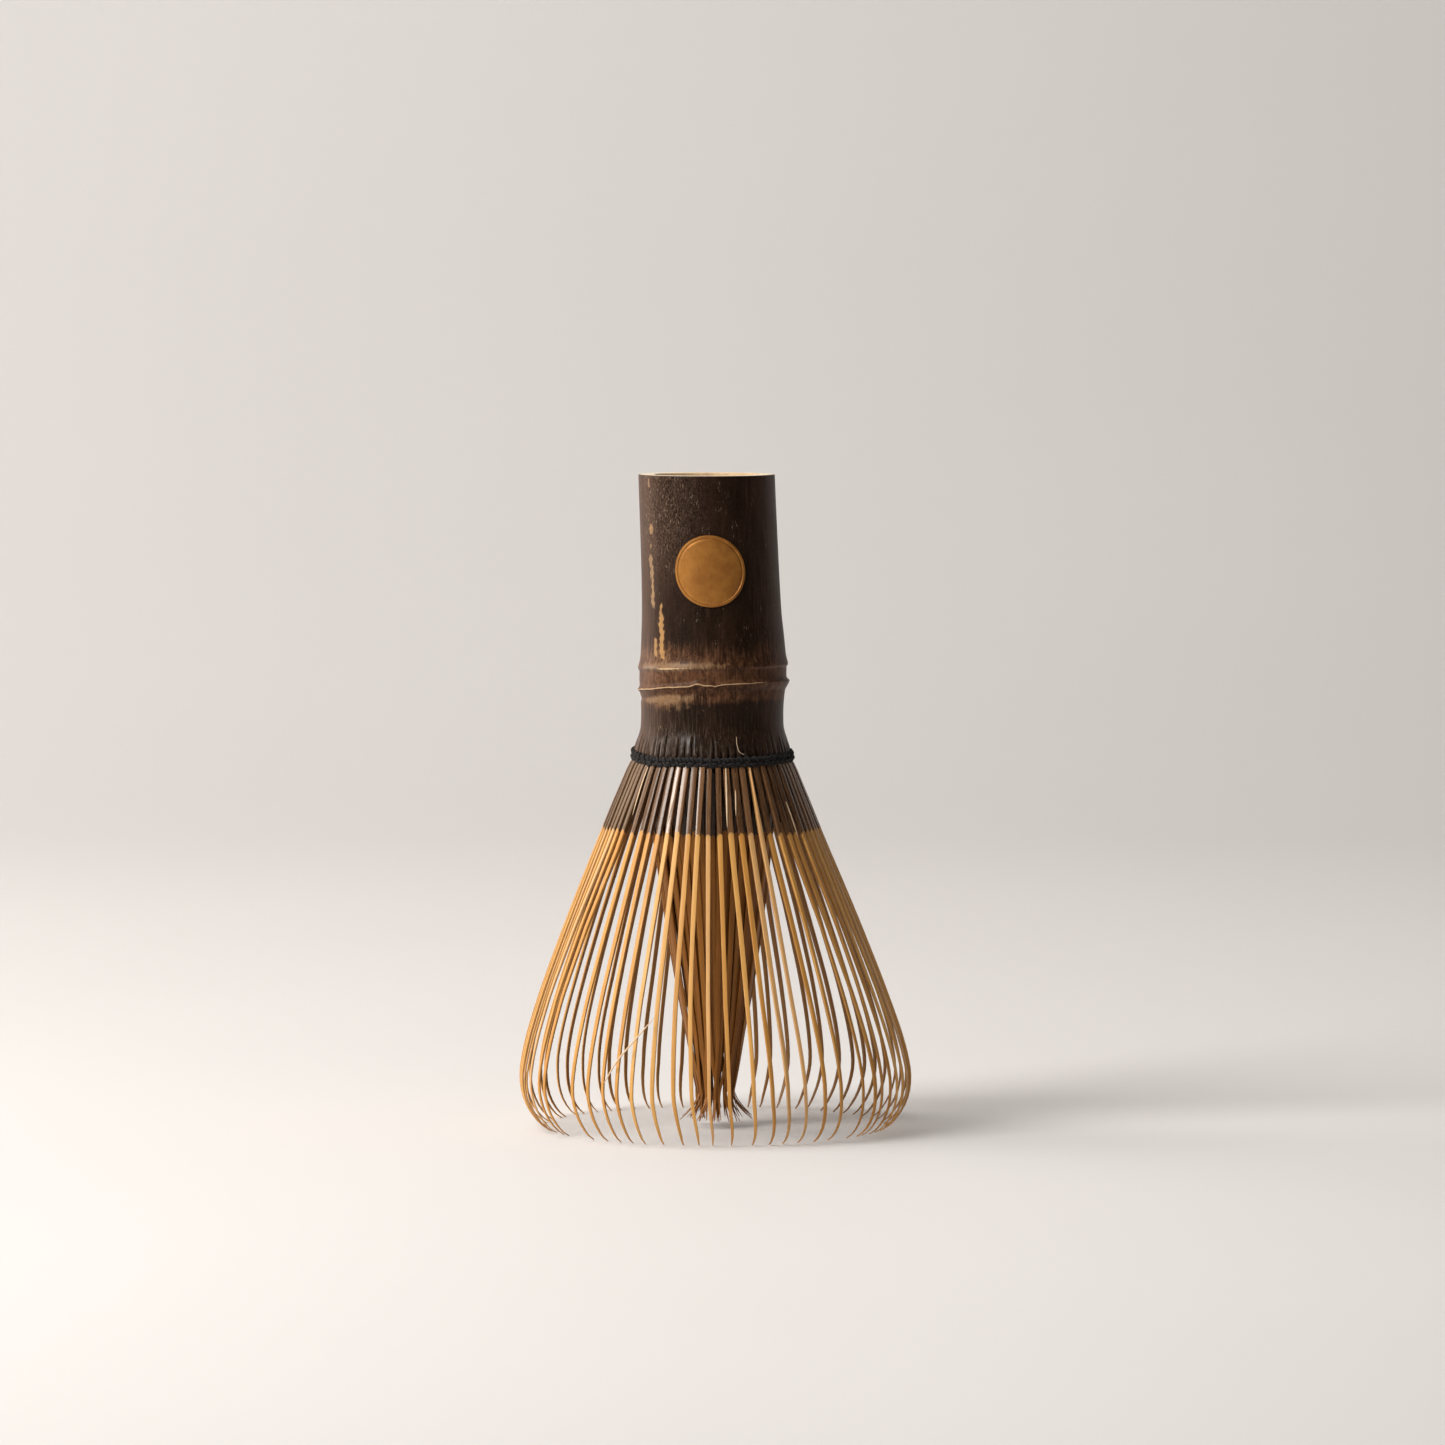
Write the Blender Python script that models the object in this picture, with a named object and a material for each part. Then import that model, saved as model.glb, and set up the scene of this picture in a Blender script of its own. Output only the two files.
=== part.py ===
"""Bamboo tea whisk (chasen), standing on the tips of its outer tines with its handle up.

A real whisk is carved from one length of culm. The end below the node is split into staves, each stave
is split again into thin tines, and a thread woven between them pulls every second tine inwards. Here
each stave is a comb of outer tines and a comb of inner tines, so that it can flex at the thread.

Row frame: +Z up, origin on the surface that the tips stand on, below the middle of the thread ring.
-Y is the front, where the gold seal is.
"""

import math

import bmesh
import bpy
from mathutils import Vector

MM = 0.001

# How the culm is split
STAVES = 16
TINES_PER_STAVE = 4
STAVE_ANGLE = 2 * math.pi / STAVES
TINE_ANGLE = STAVE_ANGLE / TINES_PER_STAVE

# Clearances between neighbouring solids
GAP = 0.3 * MM
FINE_GAP = 0.12 * MM

# Levels above the tips
HINGE = 65.0 * MM

# As the culm grew, its node sits a little askew and the handle above it leans. The cut end is level.
NODE_TILT = math.radians(2.6)
TILT_FROM, TILT_FULL = 70.0 * MM, 76.0 * MM
TILT_FADES, TILT_GONE = 81.0 * MM, 97.0 * MM
LEAN = math.radians(2.15)
LEAN_FROM = 82.0 * MM

# Outside of the culm, from its foot at the thread up to the cut end: (height, radius) in mm
CULM_OUTSIDE = (
    (65.3, 13.25),
    (66.8, 13.0),
    (69.6, 12.66),
    (72.2, 12.52),
    (74.8, 12.64),
    (76.0, 12.85),
    (76.6, 13.1),
    (77.0, 13.3),
    (77.6, 13.05),
    (78.9, 12.92),
    (79.6, 13.05),
    (80.3, 13.15),
    (81.2, 12.9),
    (82.3, 12.75),
    (85.1, 12.5),
    (90.3, 12.2),
    (98.0, 11.95),
    (113.3, 11.9),
    (113.5, 11.75),
)
# The bore of the handle, from the cut end down to the wall that closes the node
CULM_BORE = ((113.5, 8.9), (113.3, 8.75), (83.0, 8.75), (81.8, 8.0), (81.4, 4.0))
BORE_FLOOR = 81.3
# The hollow under the node, from the node's wall down to the thread
HOLLOW_ROOF = 77.9
CULM_HOLLOW = ((77.7, 4.0), (77.3, 8.6), (75.8, 9.3), (71.0, 9.9), (65.3, 11.2))
CULM_SIDES = 40

# Middle line of an outer tine, from the thread to the tip: (height, radius) in mm
OUTER_LINE = (
    (65.0, 12.75),
    (63.4, 13.55),
    (61.9, 14.4),
    (52.5, 18.4),
    (38.5, 24.35),
    (25.7, 29.5),
    (17.9, 32.25),
    (12.9, 33.55),
    (9.6, 33.9),
    (6.6, 33.6),
    (3.6, 32.6),
    (1.2, 31.1),
    (0.0, 29.6),
)
# (width, thickness) in mm at each of those points
OUTER_SECTION = (
    (0.95, 0.65),
    (0.95, 0.65),
    (0.92, 0.65),
    (0.88, 0.56),
    (0.84, 0.48),
    (0.8, 0.42),
    (0.77, 0.36),
    (0.74, 0.32),
    (0.72, 0.3),
    (0.68, 0.28),
    (0.6, 0.25),
    (0.5, 0.22),
    (0.34, 0.2),
)

# Middle line of an inner tine: the inner tines close into a carrot-shaped bundle
INNER_LINE = (
    (65.0, 11.6),
    (63.6, 11.4),
    (49.0, 9.5),
    (33.0, 7.3),
    (19.0, 5.4),
    (9.0, 3.75),
    (2.2, 2.4),
)
INNER_SECTION = (
    (0.75, 0.7),
    (0.75, 0.65),
    (0.55, 0.5),
    (0.44, 0.38),
    (0.34, 0.3),
    (0.24, 0.24),
    (0.14, 0.18),
)

# How far a tine strays sideways and outwards by the time it reaches its tip
SIDE_STRAY = math.radians(1.1)
OUT_STRAY = 0.4 * MM

# The thread: two turns round the outside, and a pass between the outer and the inner tines
THREAD_RADIUS = 0.45 * MM
THREAD_TURNS = 2
THREAD_TOP = 65.9 * MM
THREAD_FOOT = 64.1 * MM
THREAD_GAP = 0.3 * MM
THREAD_POINTS_PER_TURN = 32
SPACER_HEIGHT = 62.6 * MM
SPACER_RING = 12.85 * MM
SPACER_RADIUS = 0.42 * MM

# The gold seal on the front of the handle
SEAL_HEIGHT = 97.3 * MM
SEAL_RADIUS = 6.2 * MM
SEAL_THICKNESS = 0.25 * MM
SEAL_RINGS = 3
SEAL_SIDES = 28

COLOURS = {
    "bamboo_skin": ((0.055, 0.033, 0.024), 0.5, 0.0),
    "bamboo_outer_tine": ((0.72, 0.42, 0.15), 0.45, 0.0),
    "bamboo_inner_tine": ((0.28, 0.13, 0.045), 0.5, 0.0),
    "black_thread": ((0.012, 0.012, 0.016), 0.85, 0.0),
    "gold_leaf": ((0.55, 0.27, 0.06), 0.42, 0.6),
}


# ---------------------------------------------------------------- helpers


def material(name):
    """The Principled material of that name, made once."""
    found = bpy.data.materials.get(name)
    if found:
        return found
    colour, roughness, metallic = COLOURS[name]
    made = bpy.data.materials.new(name)
    made.use_nodes = True
    shader = made.node_tree.nodes["Principled BSDF"]
    shader.inputs["Base Color"].default_value = (*colour, 1.0)
    shader.inputs["Roughness"].default_value = roughness
    shader.inputs["Metallic"].default_value = metallic
    return made


def finish_object(name, mesh_builder, material_name, origin=Vector(), parent=None):
    """Turns a bmesh in world places into an object whose own origin is at origin."""
    bmesh.ops.recalc_face_normals(mesh_builder, faces=mesh_builder.faces[:])
    bmesh.ops.translate(mesh_builder, vec=-origin, verts=mesh_builder.verts[:])
    mesh = bpy.data.meshes.new(name)
    mesh_builder.to_mesh(mesh)
    mesh_builder.free()
    mesh.materials.append(material(material_name))
    mesh.shade_smooth()
    mesh.set_sharp_from_angle(angle=math.radians(30))
    made = bpy.data.objects.new(name, mesh)
    bpy.context.scene.collection.objects.link(made)
    if parent:
        made.parent = parent
        made.location = origin - parent.location
    else:
        made.location = origin
    return made


def empty_at(name, place):
    """An empty on a joint's axis, which the moving pieces are parented to."""
    made = bpy.data.objects.new(name, None)
    made.empty_display_size = 3 * MM
    made.location = place
    bpy.context.scene.collection.objects.link(made)
    return made


def polar(radius, angle, height):
    return Vector((radius * math.cos(angle), radius * math.sin(angle), height))


def stray(number, seed):
    """A fixed number from -1 to 1 for each tine. Tines on opposite sides share theirs."""
    half_round = STAVES * TINES_PER_STAVE // 2
    return math.sin(12.9898 * (number % half_round) + 4.137 * seed)


def smooth_step(value, low, high):
    share = min(1.0, max(0.0, (value - low) / (high - low)))
    return share * share * (3 - 2 * share)


# ---------------------------------------------------------------- the culm


def culm_radius(height):
    """Outer radius of the culm at a height."""
    height /= MM
    for (low, first), (high, second) in zip(CULM_OUTSIDE, CULM_OUTSIDE[1:]):
        if height <= high:
            return (first + (second - first) * (height - low) / (high - low)) * MM
    return CULM_OUTSIDE[-1][1] * MM


def culm_point(height, radius, angle):
    """A point at that radius and angle round the culm, whose axis leans from the node upwards."""
    tilt = NODE_TILT * smooth_step(height, TILT_FROM, TILT_FULL)
    tilt *= 1 - smooth_step(height, TILT_FADES, TILT_GONE)
    shift = -max(0.0, height - LEAN_FROM) * math.tan(LEAN)
    across = Vector((math.cos(tilt), 0.0, math.sin(tilt)))
    out = across * math.cos(angle) + Vector((0.0, math.sin(angle), 0.0))
    return Vector((shift, 0.0, height)) + out * radius


def culm_handle():
    """The unsplit culm: hollow handle, node with its wall, and the collar that the staves grow from."""
    builder = bmesh.new()
    profile = CULM_OUTSIDE + CULM_BORE
    hollow = CULM_HOLLOW

    def ring(height, radius):
        angles = (2 * math.pi * i / CULM_SIDES for i in range(CULM_SIDES))
        return [builder.verts.new(culm_point(height * MM, radius * MM, a)) for a in angles]

    def bridge(first, second):
        for i in range(CULM_SIDES):
            j = (i + 1) % CULM_SIDES
            builder.faces.new((first[i], first[j], second[j], second[i]))

    def close(rim, height):
        pole = builder.verts.new(culm_point(height * MM, 0.0, 0.0))
        for i in range(CULM_SIDES):
            builder.faces.new((rim[i], rim[(i + 1) % CULM_SIDES], pole))

    outside = [ring(*point) for point in profile]
    for first, second in zip(outside, outside[1:]):
        bridge(first, second)
    close(outside[-1], BORE_FLOOR)
    inside = [ring(*point) for point in hollow]
    for first, second in zip(inside, inside[1:]):
        bridge(first, second)
    close(inside[0], HOLLOW_ROOF)
    bridge(inside[-1], outside[0])
    return finish_object("culm_handle", builder, "bamboo_skin")


# ---------------------------------------------------------------- the combs of tines


def tangent_angle(line, index):
    """How far the line leans outwards from straight down at a point of it."""
    before = line[max(0, index - 1)]
    after = line[min(len(line) - 1, index + 1)]
    return math.atan2(after[1] - before[1], before[0] - after[0])


def tine_ring(angle, line, section, index, level_cut, side=0.0, out=0.0):
    """The four corners of a tine at one point of its line: outer left and right, inner right and left."""
    height, radius = line[index]
    width, thickness = section[index]
    lean = 0.0 if level_cut else tangent_angle(line, index)
    height, radius = height * MM, radius * MM + out
    width, thickness = width * MM, thickness * MM
    turned = angle + side
    sideways = Vector((-math.sin(turned), math.cos(turned), 0.0))
    corners = []
    for outwards, across in ((1, -1), (1, 1), (-1, 1), (-1, -1)):
        reach = outwards * thickness / 2
        place = polar(radius + reach * math.cos(lean), turned, height + reach * math.sin(lean))
        corners.append(place + sideways * (across * width / 2))
    return corners


def tine_comb(name, stave, line, section, material_name, parent, strays):
    """One stave's tines: a short unsplit block under the thread, and the tines that grow from it."""
    builder = bmesh.new()
    middle = (stave + 0.5) * STAVE_ANGLE
    half_span = STAVE_ANGLE / 2 - math.asin(GAP / 2 / (line[0][1] * MM))
    block_top, block_foot = [], []

    def station(rows, angle, index):
        height, radius = line[index]
        reach = section[index][1] * MM / 2
        rows.append(
            [builder.verts.new(polar(radius * MM + s * reach, angle, height * MM)) for s in (1, -1)]
        )

    station(block_top, middle - half_span, 0)
    station(block_foot, middle - half_span, 1)
    tine_roots = []
    for tine in range(TINES_PER_STAVE):
        angle = middle + (tine - (TINES_PER_STAVE - 1) / 2) * TINE_ANGLE
        for rows, index in ((block_top, 0), (block_foot, 1)):
            corners = [builder.verts.new(c) for c in tine_ring(angle, line, section, index, True)]
            rows += [[corners[0], corners[3]], [corners[1], corners[2]]]
        left, right = block_foot[-2], block_foot[-1]
        tine_roots.append((angle, [left[0], right[0], right[1], left[1]]))
    station(block_top, middle + half_span, 0)
    station(block_foot, middle + half_span, 1)

    for i, (top, foot) in enumerate(zip(block_top[:-1], block_foot[:-1])):
        next_top, next_foot = block_top[i + 1], block_foot[i + 1]
        builder.faces.new((top[0], next_top[0], next_foot[0], foot[0]))
        builder.faces.new((top[1], foot[1], next_foot[1], next_top[1]))
        builder.faces.new((top[0], top[1], next_top[1], next_top[0]))
        under_a_tine = i % 2 == 1
        if not under_a_tine:
            builder.faces.new((foot[0], next_foot[0], next_foot[1], foot[1]))
    for top, foot in ((block_top[0], block_foot[0]), (block_top[-1], block_foot[-1])):
        builder.faces.new((top[0], foot[0], foot[1], top[1]))

    for tine, (angle, ring) in enumerate(tine_roots):
        number = stave * TINES_PER_STAVE + tine
        for index in range(2, len(line)):
            share = (line[1][0] - line[index][0]) / (line[1][0] - line[-1][0])
            side = strays * SIDE_STRAY * stray(number, 1) * share**2
            out = strays * OUT_STRAY * stray(number, 2) * share**2
            corners = tine_ring(angle, line, section, index, index == len(line) - 1, side, out)
            following = [builder.verts.new(c) for c in corners]
            for i in range(4):
                j = (i + 1) % 4
                builder.faces.new((ring[i], ring[j], following[j], following[i]))
            ring = following
        builder.faces.new(ring)
    return finish_object(name, builder, material_name, origin=parent.location.copy(), parent=parent)


def outer_combs():
    for stave in range(STAVES):
        place = polar(OUTER_LINE[0][1] * MM, (stave + 0.5) * STAVE_ANGLE, HINGE)
        hinge = empty_at(f"outer_hinge_{stave + 1:02d}", place)
        name = f"outer_tines_{stave + 1:02d}"
        tine_comb(name, stave, OUTER_LINE, OUTER_SECTION, "bamboo_outer_tine", hinge, 1.0)


def inner_combs():
    """Two neighbouring inner combs cling together and share a hinge."""
    for pair in range(STAVES // 2):
        place = polar(INNER_LINE[0][1] * MM, (2 * pair + 1) * STAVE_ANGLE, HINGE)
        hinge = empty_at(f"inner_hinge_{pair + 1}", place)
        for stave in (2 * pair, 2 * pair + 1):
            name = f"inner_tines_{stave + 1:02d}"
            tine_comb(name, stave, INNER_LINE, INNER_SECTION, "bamboo_inner_tine", hinge, 0.0)


# ---------------------------------------------------------------- the thread


def surface_radius(height):
    """Radius that the thread lies on: the collar above the hinge, the outer combs below it."""
    if height > HINGE:
        return max(culm_radius(height), (OUTER_LINE[0][1] + OUTER_SECTION[0][1] / 2) * MM)
    (top, first), (foot, second) = OUTER_LINE[:2]
    slope = (second - first) / (top - foot)
    return (first + OUTER_SECTION[0][1] / 2) * MM + slope * (HINGE - height)


def binding_thread():
    """One thread wound twice round the whisk, tight against the collar and the outer combs."""
    curve = bpy.data.curves.new("binding_thread", "CURVE")
    curve.dimensions = "3D"
    curve.bevel_depth = THREAD_RADIUS
    curve.bevel_resolution = 2
    curve.use_fill_caps = True
    spline = curve.splines.new("POLY")
    steps = THREAD_TURNS * THREAD_POINTS_PER_TURN
    spline.points.add(steps)
    for step in range(steps + 1):
        height = THREAD_TOP + (THREAD_FOOT - THREAD_TOP) * step / steps
        radius = surface_radius(height) + THREAD_GAP + THREAD_RADIUS
        angle = math.pi / 2 + 2 * math.pi * step / THREAD_POINTS_PER_TURN
        spline.points[step].co = (*polar(radius, angle, height), 1.0)
    curve.materials.append(material("black_thread"))
    made = bpy.data.objects.new("binding_thread", curve)
    bpy.context.scene.collection.objects.link(made)
    return made


def thread_spacer_row():
    """The pass of the thread that lies between the outer tines and the inner ones and keeps them apart."""
    builder = bmesh.new()
    around, sides = 40, 6
    rings = []
    for i in range(around):
        angle = 2 * math.pi * i / around
        turns = (2 * math.pi * j / sides for j in range(sides))
        rings.append(
            [
                builder.verts.new(
                    polar(
                        SPACER_RING + SPACER_RADIUS * math.cos(t),
                        angle,
                        SPACER_HEIGHT + SPACER_RADIUS * math.sin(t),
                    )
                )
                for t in turns
            ]
        )
    for i in range(around):
        first, second = rings[i], rings[(i + 1) % around]
        for j in range(sides):
            k = (j + 1) % sides
            builder.faces.new((first[j], first[k], second[k], second[j]))
    return finish_object("thread_spacer_row", builder, "black_thread")


# ---------------------------------------------------------------- the seal


def gold_seal():
    """A thin round gold seal that follows the curve of the handle."""
    builder = bmesh.new()
    front = -math.pi / 2

    def layer(lift):
        def place(reach, turn):
            height = SEAL_HEIGHT + reach * math.sin(turn)
            radius = culm_radius(height)
            return culm_point(height, radius + lift, front + reach * math.cos(turn) / radius)

        rings = [[builder.verts.new(place(0.0, 0.0))]]
        for ring in range(1, SEAL_RINGS + 1):
            reach = SEAL_RADIUS * ring / SEAL_RINGS
            turns = (2 * math.pi * i / SEAL_SIDES for i in range(SEAL_SIDES))
            rings.append([builder.verts.new(place(reach, t)) for t in turns])
        for i in range(SEAL_SIDES):
            j = (i + 1) % SEAL_SIDES
            builder.faces.new((rings[0][0], rings[1][i], rings[1][j]))
            for first, second in zip(rings[1:], rings[2:]):
                builder.faces.new((first[i], second[i], second[j], first[j]))
        return rings[-1]

    back = layer(FINE_GAP)
    face = layer(FINE_GAP + SEAL_THICKNESS)
    for i in range(SEAL_SIDES):
        j = (i + 1) % SEAL_SIDES
        builder.faces.new((back[i], back[j], face[j], face[i]))
    return finish_object("gold_seal", builder, "gold_leaf")


def main():
    for old in list(bpy.data.objects):
        bpy.data.objects.remove(old)
    culm_handle()
    outer_combs()
    inner_combs()
    binding_thread()
    thread_spacer_row()
    gold_seal()


main()
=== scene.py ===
"""Looks of the bamboo tea whisk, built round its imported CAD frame.

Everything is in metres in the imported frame: +Z up, -Y towards the gold seal, the tips of the tines at z = 0.
"""
import math

import bmesh
import bpy
import numpy as np
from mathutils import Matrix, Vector


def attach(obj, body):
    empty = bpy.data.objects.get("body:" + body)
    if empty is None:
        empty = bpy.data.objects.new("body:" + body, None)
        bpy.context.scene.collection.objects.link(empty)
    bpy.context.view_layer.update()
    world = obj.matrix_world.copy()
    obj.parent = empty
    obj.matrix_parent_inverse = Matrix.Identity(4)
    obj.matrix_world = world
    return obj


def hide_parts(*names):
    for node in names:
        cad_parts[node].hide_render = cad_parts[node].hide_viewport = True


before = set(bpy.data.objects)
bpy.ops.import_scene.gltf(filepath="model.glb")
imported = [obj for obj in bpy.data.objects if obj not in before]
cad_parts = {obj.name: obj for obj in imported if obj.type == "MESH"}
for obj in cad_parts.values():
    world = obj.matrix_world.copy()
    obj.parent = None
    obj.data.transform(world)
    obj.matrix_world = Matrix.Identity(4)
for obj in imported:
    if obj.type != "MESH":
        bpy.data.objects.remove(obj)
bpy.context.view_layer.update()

MM = 0.001
TAU = 2 * math.pi

STAVES = 16
TINES_PER_STAVE = 4
TINES = STAVES * TINES_PER_STAVE
TINE_ANGLE = TAU / TINES
FRONT = -math.pi / 2
TURNED = math.radians(1.6)

# The culm: heights and radii in mm
TOP = 113.5
ARRIS = 113.2
COLLAR_END = 64.6
SLATS_FROM = 68.6
LOWER_RIDGE = 76.97
UPPER_RIDGE = 80.24
CULM_COLUMNS = TINES * 8
CULM_PROFILE = (
    (64.6, 13.3), (65.2, 13.36), (65.8, 13.33), (66.5, 13.22), (67.4, 13.0), (68.4, 12.7),
    (69.5, 12.46), (71.5, 12.35), (73.5, 12.38), (75.0, 12.48), (76.5, 12.63), (78.5, 12.75),
    (80.2, 12.72), (82.2, 12.6), (84.0, 12.48), (86.1, 12.34), (88.2, 12.19), (90.3, 12.09),
    (94.5, 11.98), (98.6, 11.92), (106.0, 11.86), (113.5, 11.82),
)
# From the arris in across the sawn end: (drop below the top, distance in from the skin) in mm
SAWN_END = ((0.2, 0.0), (0.07, 0.045), (0.0, 0.14), (0.0, 0.6), (0.0, 1.6), (0.0, 2.7))
# The bore of the handle, down to the node's wall, and the hollow under the node: (height, radius) in mm
BORE = (
    (113.45, 9.0), (113.2, 8.84), (108.0, 8.8), (98.0, 8.78), (88.0, 8.8), (84.2, 8.8),
    (82.7, 8.5), (81.9, 7.8), (81.55, 6.0), (81.4, 3.0), (81.3, 0.6),
)
HOLLOW = (
    (77.9, 0.6), (77.7, 5.0), (77.2, 8.5), (76.0, 9.3), (71.0, 9.9), (67.0, 10.8), (COLLAR_END, 11.3),
)
# The whisk isn't quite straight: how far its middle lies to the side of the origin's axis, in mm
MIDDLE = (
    (0.0, 0.36), (12.0, 0.3), (36.0, -0.04), (54.0, -0.3), (65.0, -0.25), (75.0, -0.2), (82.0, -0.06),
    (90.3, -0.34), (98.6, -0.62), (106.0, -0.9), (113.5, -1.17),
)

# Middle lines of the tines, from the thread to the tip: (height, radius) in mm
OUTER_LINE = (
    (65.5, 12.6), (64.6, 13.0), (63.6, 13.65), (62.5, 14.2), (60.0, 15.25), (56.0, 16.93), (52.0, 18.6),
    (45.0, 21.55), (38.0, 24.46), (31.0, 27.25), (25.0, 29.55), (20.0, 31.3), (16.0, 32.55), (12.5, 33.4),
    (9.5, 33.85), (6.6, 33.7), (3.8, 32.85), (1.7, 31.5), (0.5, 30.2), (0.12, 29.5),
)
INNER_LINE = (
    (65.2, 11.6), (62.6, 11.4), (52.0, 10.2), (41.0, 8.75), (31.0, 7.3), (22.0, 5.9), (14.0, 4.6),
    (8.0, 3.6), (4.4, 2.95), (2.2, 2.7), (0.7, 2.6),
)
# (height, width, thickness) in mm
OUTER_SIZES = (
    (65.5, 1.0, 0.7), (62.5, 1.0, 0.84), (56.0, 0.97, 0.84), (52.0, 0.88, 0.72), (45.0, 0.84, 0.6),
    (38.0, 0.8, 0.5), (25.0, 0.74, 0.4), (12.0, 0.68, 0.33), (6.0, 0.6, 0.27), (2.0, 0.46, 0.21),
    (0.0, 0.2, 0.14),
)
INNER_SIZES = (
    (65.2, 1.0, 0.6), (60.0, 1.0, 0.5), (48.0, 1.0, 0.34), (30.0, 0.9, 0.26), (15.0, 0.72, 0.2),
    (6.0, 0.48, 0.15), (2.5, 0.26, 0.12), (0.6, 0.1, 0.08),
)
SKIN_ENDS_OUTER = 52.35
SKIN_ENDS_INNER = 51.9
SKIN_STEP = 0.06
# The one outer tine whose skin has been shaved off up to the thread
BARE_TINE = 52

# The thread's two outer rows: (height, radius, length of one turn of the twist) in mm. Each row is two
# plies: how far each ply's middle stands from the row's middle, and how thick a ply is, in mm
THREAD_ROWS = ((65.26, 13.66, 1.75), (64.42, 13.8, 1.9))
PLY_REACH = 0.22
PLY_THICKNESS = 0.5
# Its pass between the outer and the inner tines, in mm
SPACER_HEIGHT = 62.6
SPACER_RADIUS = 12.75
SPACER_TWIST = 2.0
SPACER_PLY_REACH = 0.16
SPACER_PLY_THICKNESS = 0.36

# The seal: the height of its middle in mm, how many sides its round has, and the profiles of its top and
# its underside, from near the middle out to the rim and back: (reach, lift off the skin) in mm
SEAL_HEIGHT = 97.15
SEAL_SIDES = 96
SEAL_TOP = (
    (2.0, 0.3), (4.0, 0.3), (5.2, 0.3), (5.45, 0.3), (5.55, 0.24), (5.68, 0.24), (5.78, 0.34),
    (6.0, 0.36), (6.14, 0.33), (6.2, 0.24), (6.2, 0.06),
)
SEAL_UNDERSIDE = ((4.0, 0.06), (2.0, 0.06))

# The camera: its place and what it looks at in metres, and its lens in mm
CAMERA_AT = (0.00155, -1.33, 0.153)
CAMERA_AIM = (0.00155, 0.0, 0.0704)
CAMERA_LENS = 191.3


# ---------------------------------------------------------------- numbers


def chance(number, seed):
    """A fixed number from -1 to 1 for each number and seed."""
    value = math.sin(number * 12.9898 + seed * 78.233) * 43758.5453
    return 2 * (value - math.floor(value)) - 1


def step(value, low, high):
    share = np.clip((value - low) / (high - low), 0, 1)
    return share * share * (3 - 2 * share)


def bump_at(value, middle, width):
    return np.exp(-(((value - middle) / width) ** 2))


def spline(points, count):
    """Evenly spaced points on one smooth curve through the given ones."""
    p = np.array(points, float)
    t = np.concatenate([[0], np.cumsum(np.linalg.norm(np.diff(p, axis=0), axis=1))])
    slope = np.gradient(p, t, axis=0)
    s = np.linspace(0, t[-1], count)
    i = np.clip(np.searchsorted(t, s) - 1, 0, len(t) - 2)
    h = (t[i + 1] - t[i])[:, None]
    u = ((s - t[i])[:, None]) / h
    return (
        (2 * u**3 - 3 * u**2 + 1) * p[i]
        + (u**3 - 2 * u**2 + u) * h * slope[i]
        + (3 * u**2 - 2 * u**3) * p[i + 1]
        + (u**3 - u**2) * h * slope[i + 1]
    )


def unit(vectors):
    return vectors / np.linalg.norm(vectors, axis=-1, keepdims=True)


def away(angle, middle):
    """Degrees from one angle round to another, from -180 to 180."""
    return (np.degrees(angle - middle) + 180) % 360 - 180


# ---------------------------------------------------------------- meshes


class Pile:
    """Closed bodies gathered into one mesh, with numbers at their points for the materials to read."""

    def __init__(self):
        self.points, self.faces, self.marks, self.count = [], [], {}, 0

    def add(self, points, faces, **marks):
        """points in mm"""
        self.points.append(points)
        self.faces += [[self.count + i for i in face] for face in faces]
        for name, values in marks.items():
            self.marks.setdefault(name, []).append(np.asarray(values, float))
        self.count += len(points)

    def piece(self, name, body, material, stands_for=(), sharp=50):
        mesh = bpy.data.meshes.new(name)
        points = np.concatenate(self.points) * MM
        mesh.from_pydata(points.tolist(), [], self.faces)
        for mark, values in self.marks.items():
            values = np.concatenate(values).astype(np.float32)
            kind, field = ("FLOAT_VECTOR", "vector") if values.ndim == 2 else ("FLOAT", "value")
            mesh.attributes.new(mark, kind, "POINT").data.foreach_set(field, values.ravel())
        made = bpy.data.objects.new(name, mesh)
        bpy.context.scene.collection.objects.link(made)
        mesh.materials.append(material)
        mesh.shade_smooth()
        mesh.set_sharp_from_angle(angle=math.radians(sharp))
        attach(made, body)
        if stands_for:
            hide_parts(*stands_for)
        return made


def tube_faces(rings, sides):
    """Quads between rings of points, with both ends closed."""
    faces = []
    for i in range(rings - 1):
        a, b = i * sides, (i + 1) * sides
        for j in range(sides):
            k = (j + 1) % sides
            faces.append((a + j, a + k, b + k, b + j))
    faces.append(tuple(range(sides - 1, -1, -1)))
    faces.append(tuple(range((rings - 1) * sides, rings * sides)))
    return faces


# The section of a tine: (across, out), the skin on the out side
TINE_SECTION = np.array(
    ((-0.5, 0.28), (-0.45, 0.44), (-0.24, 0.49), (0.0, 0.5), (0.24, 0.49), (0.45, 0.44), (0.5, 0.28),
     (0.5, -0.4), (0.42, -0.5), (0.0, -0.5), (-0.42, -0.5), (-0.5, -0.4))
)


def sweep(path, across, width, thickness, section, twist=0.0):
    """Points of a section swept along a path, all in mm."""
    along = unit(np.gradient(path, axis=0))
    side = unit(across - along * (across * along).sum(1, keepdims=True))
    out = np.cross(along, side)
    turn = np.broadcast_to(twist, len(path))[:, None]
    side, out = side * np.cos(turn) + out * np.sin(turn), out * np.cos(turn) - side * np.sin(turn)
    reach = section[None, :, 0, None] * (width[:, None, None] * side[:, None])
    lift = section[None, :, 1, None] * (thickness[:, None, None] * out[:, None])
    return (path[:, None] + reach + lift).reshape(-1, 3)


# ---------------------------------------------------------------- materials


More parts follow.
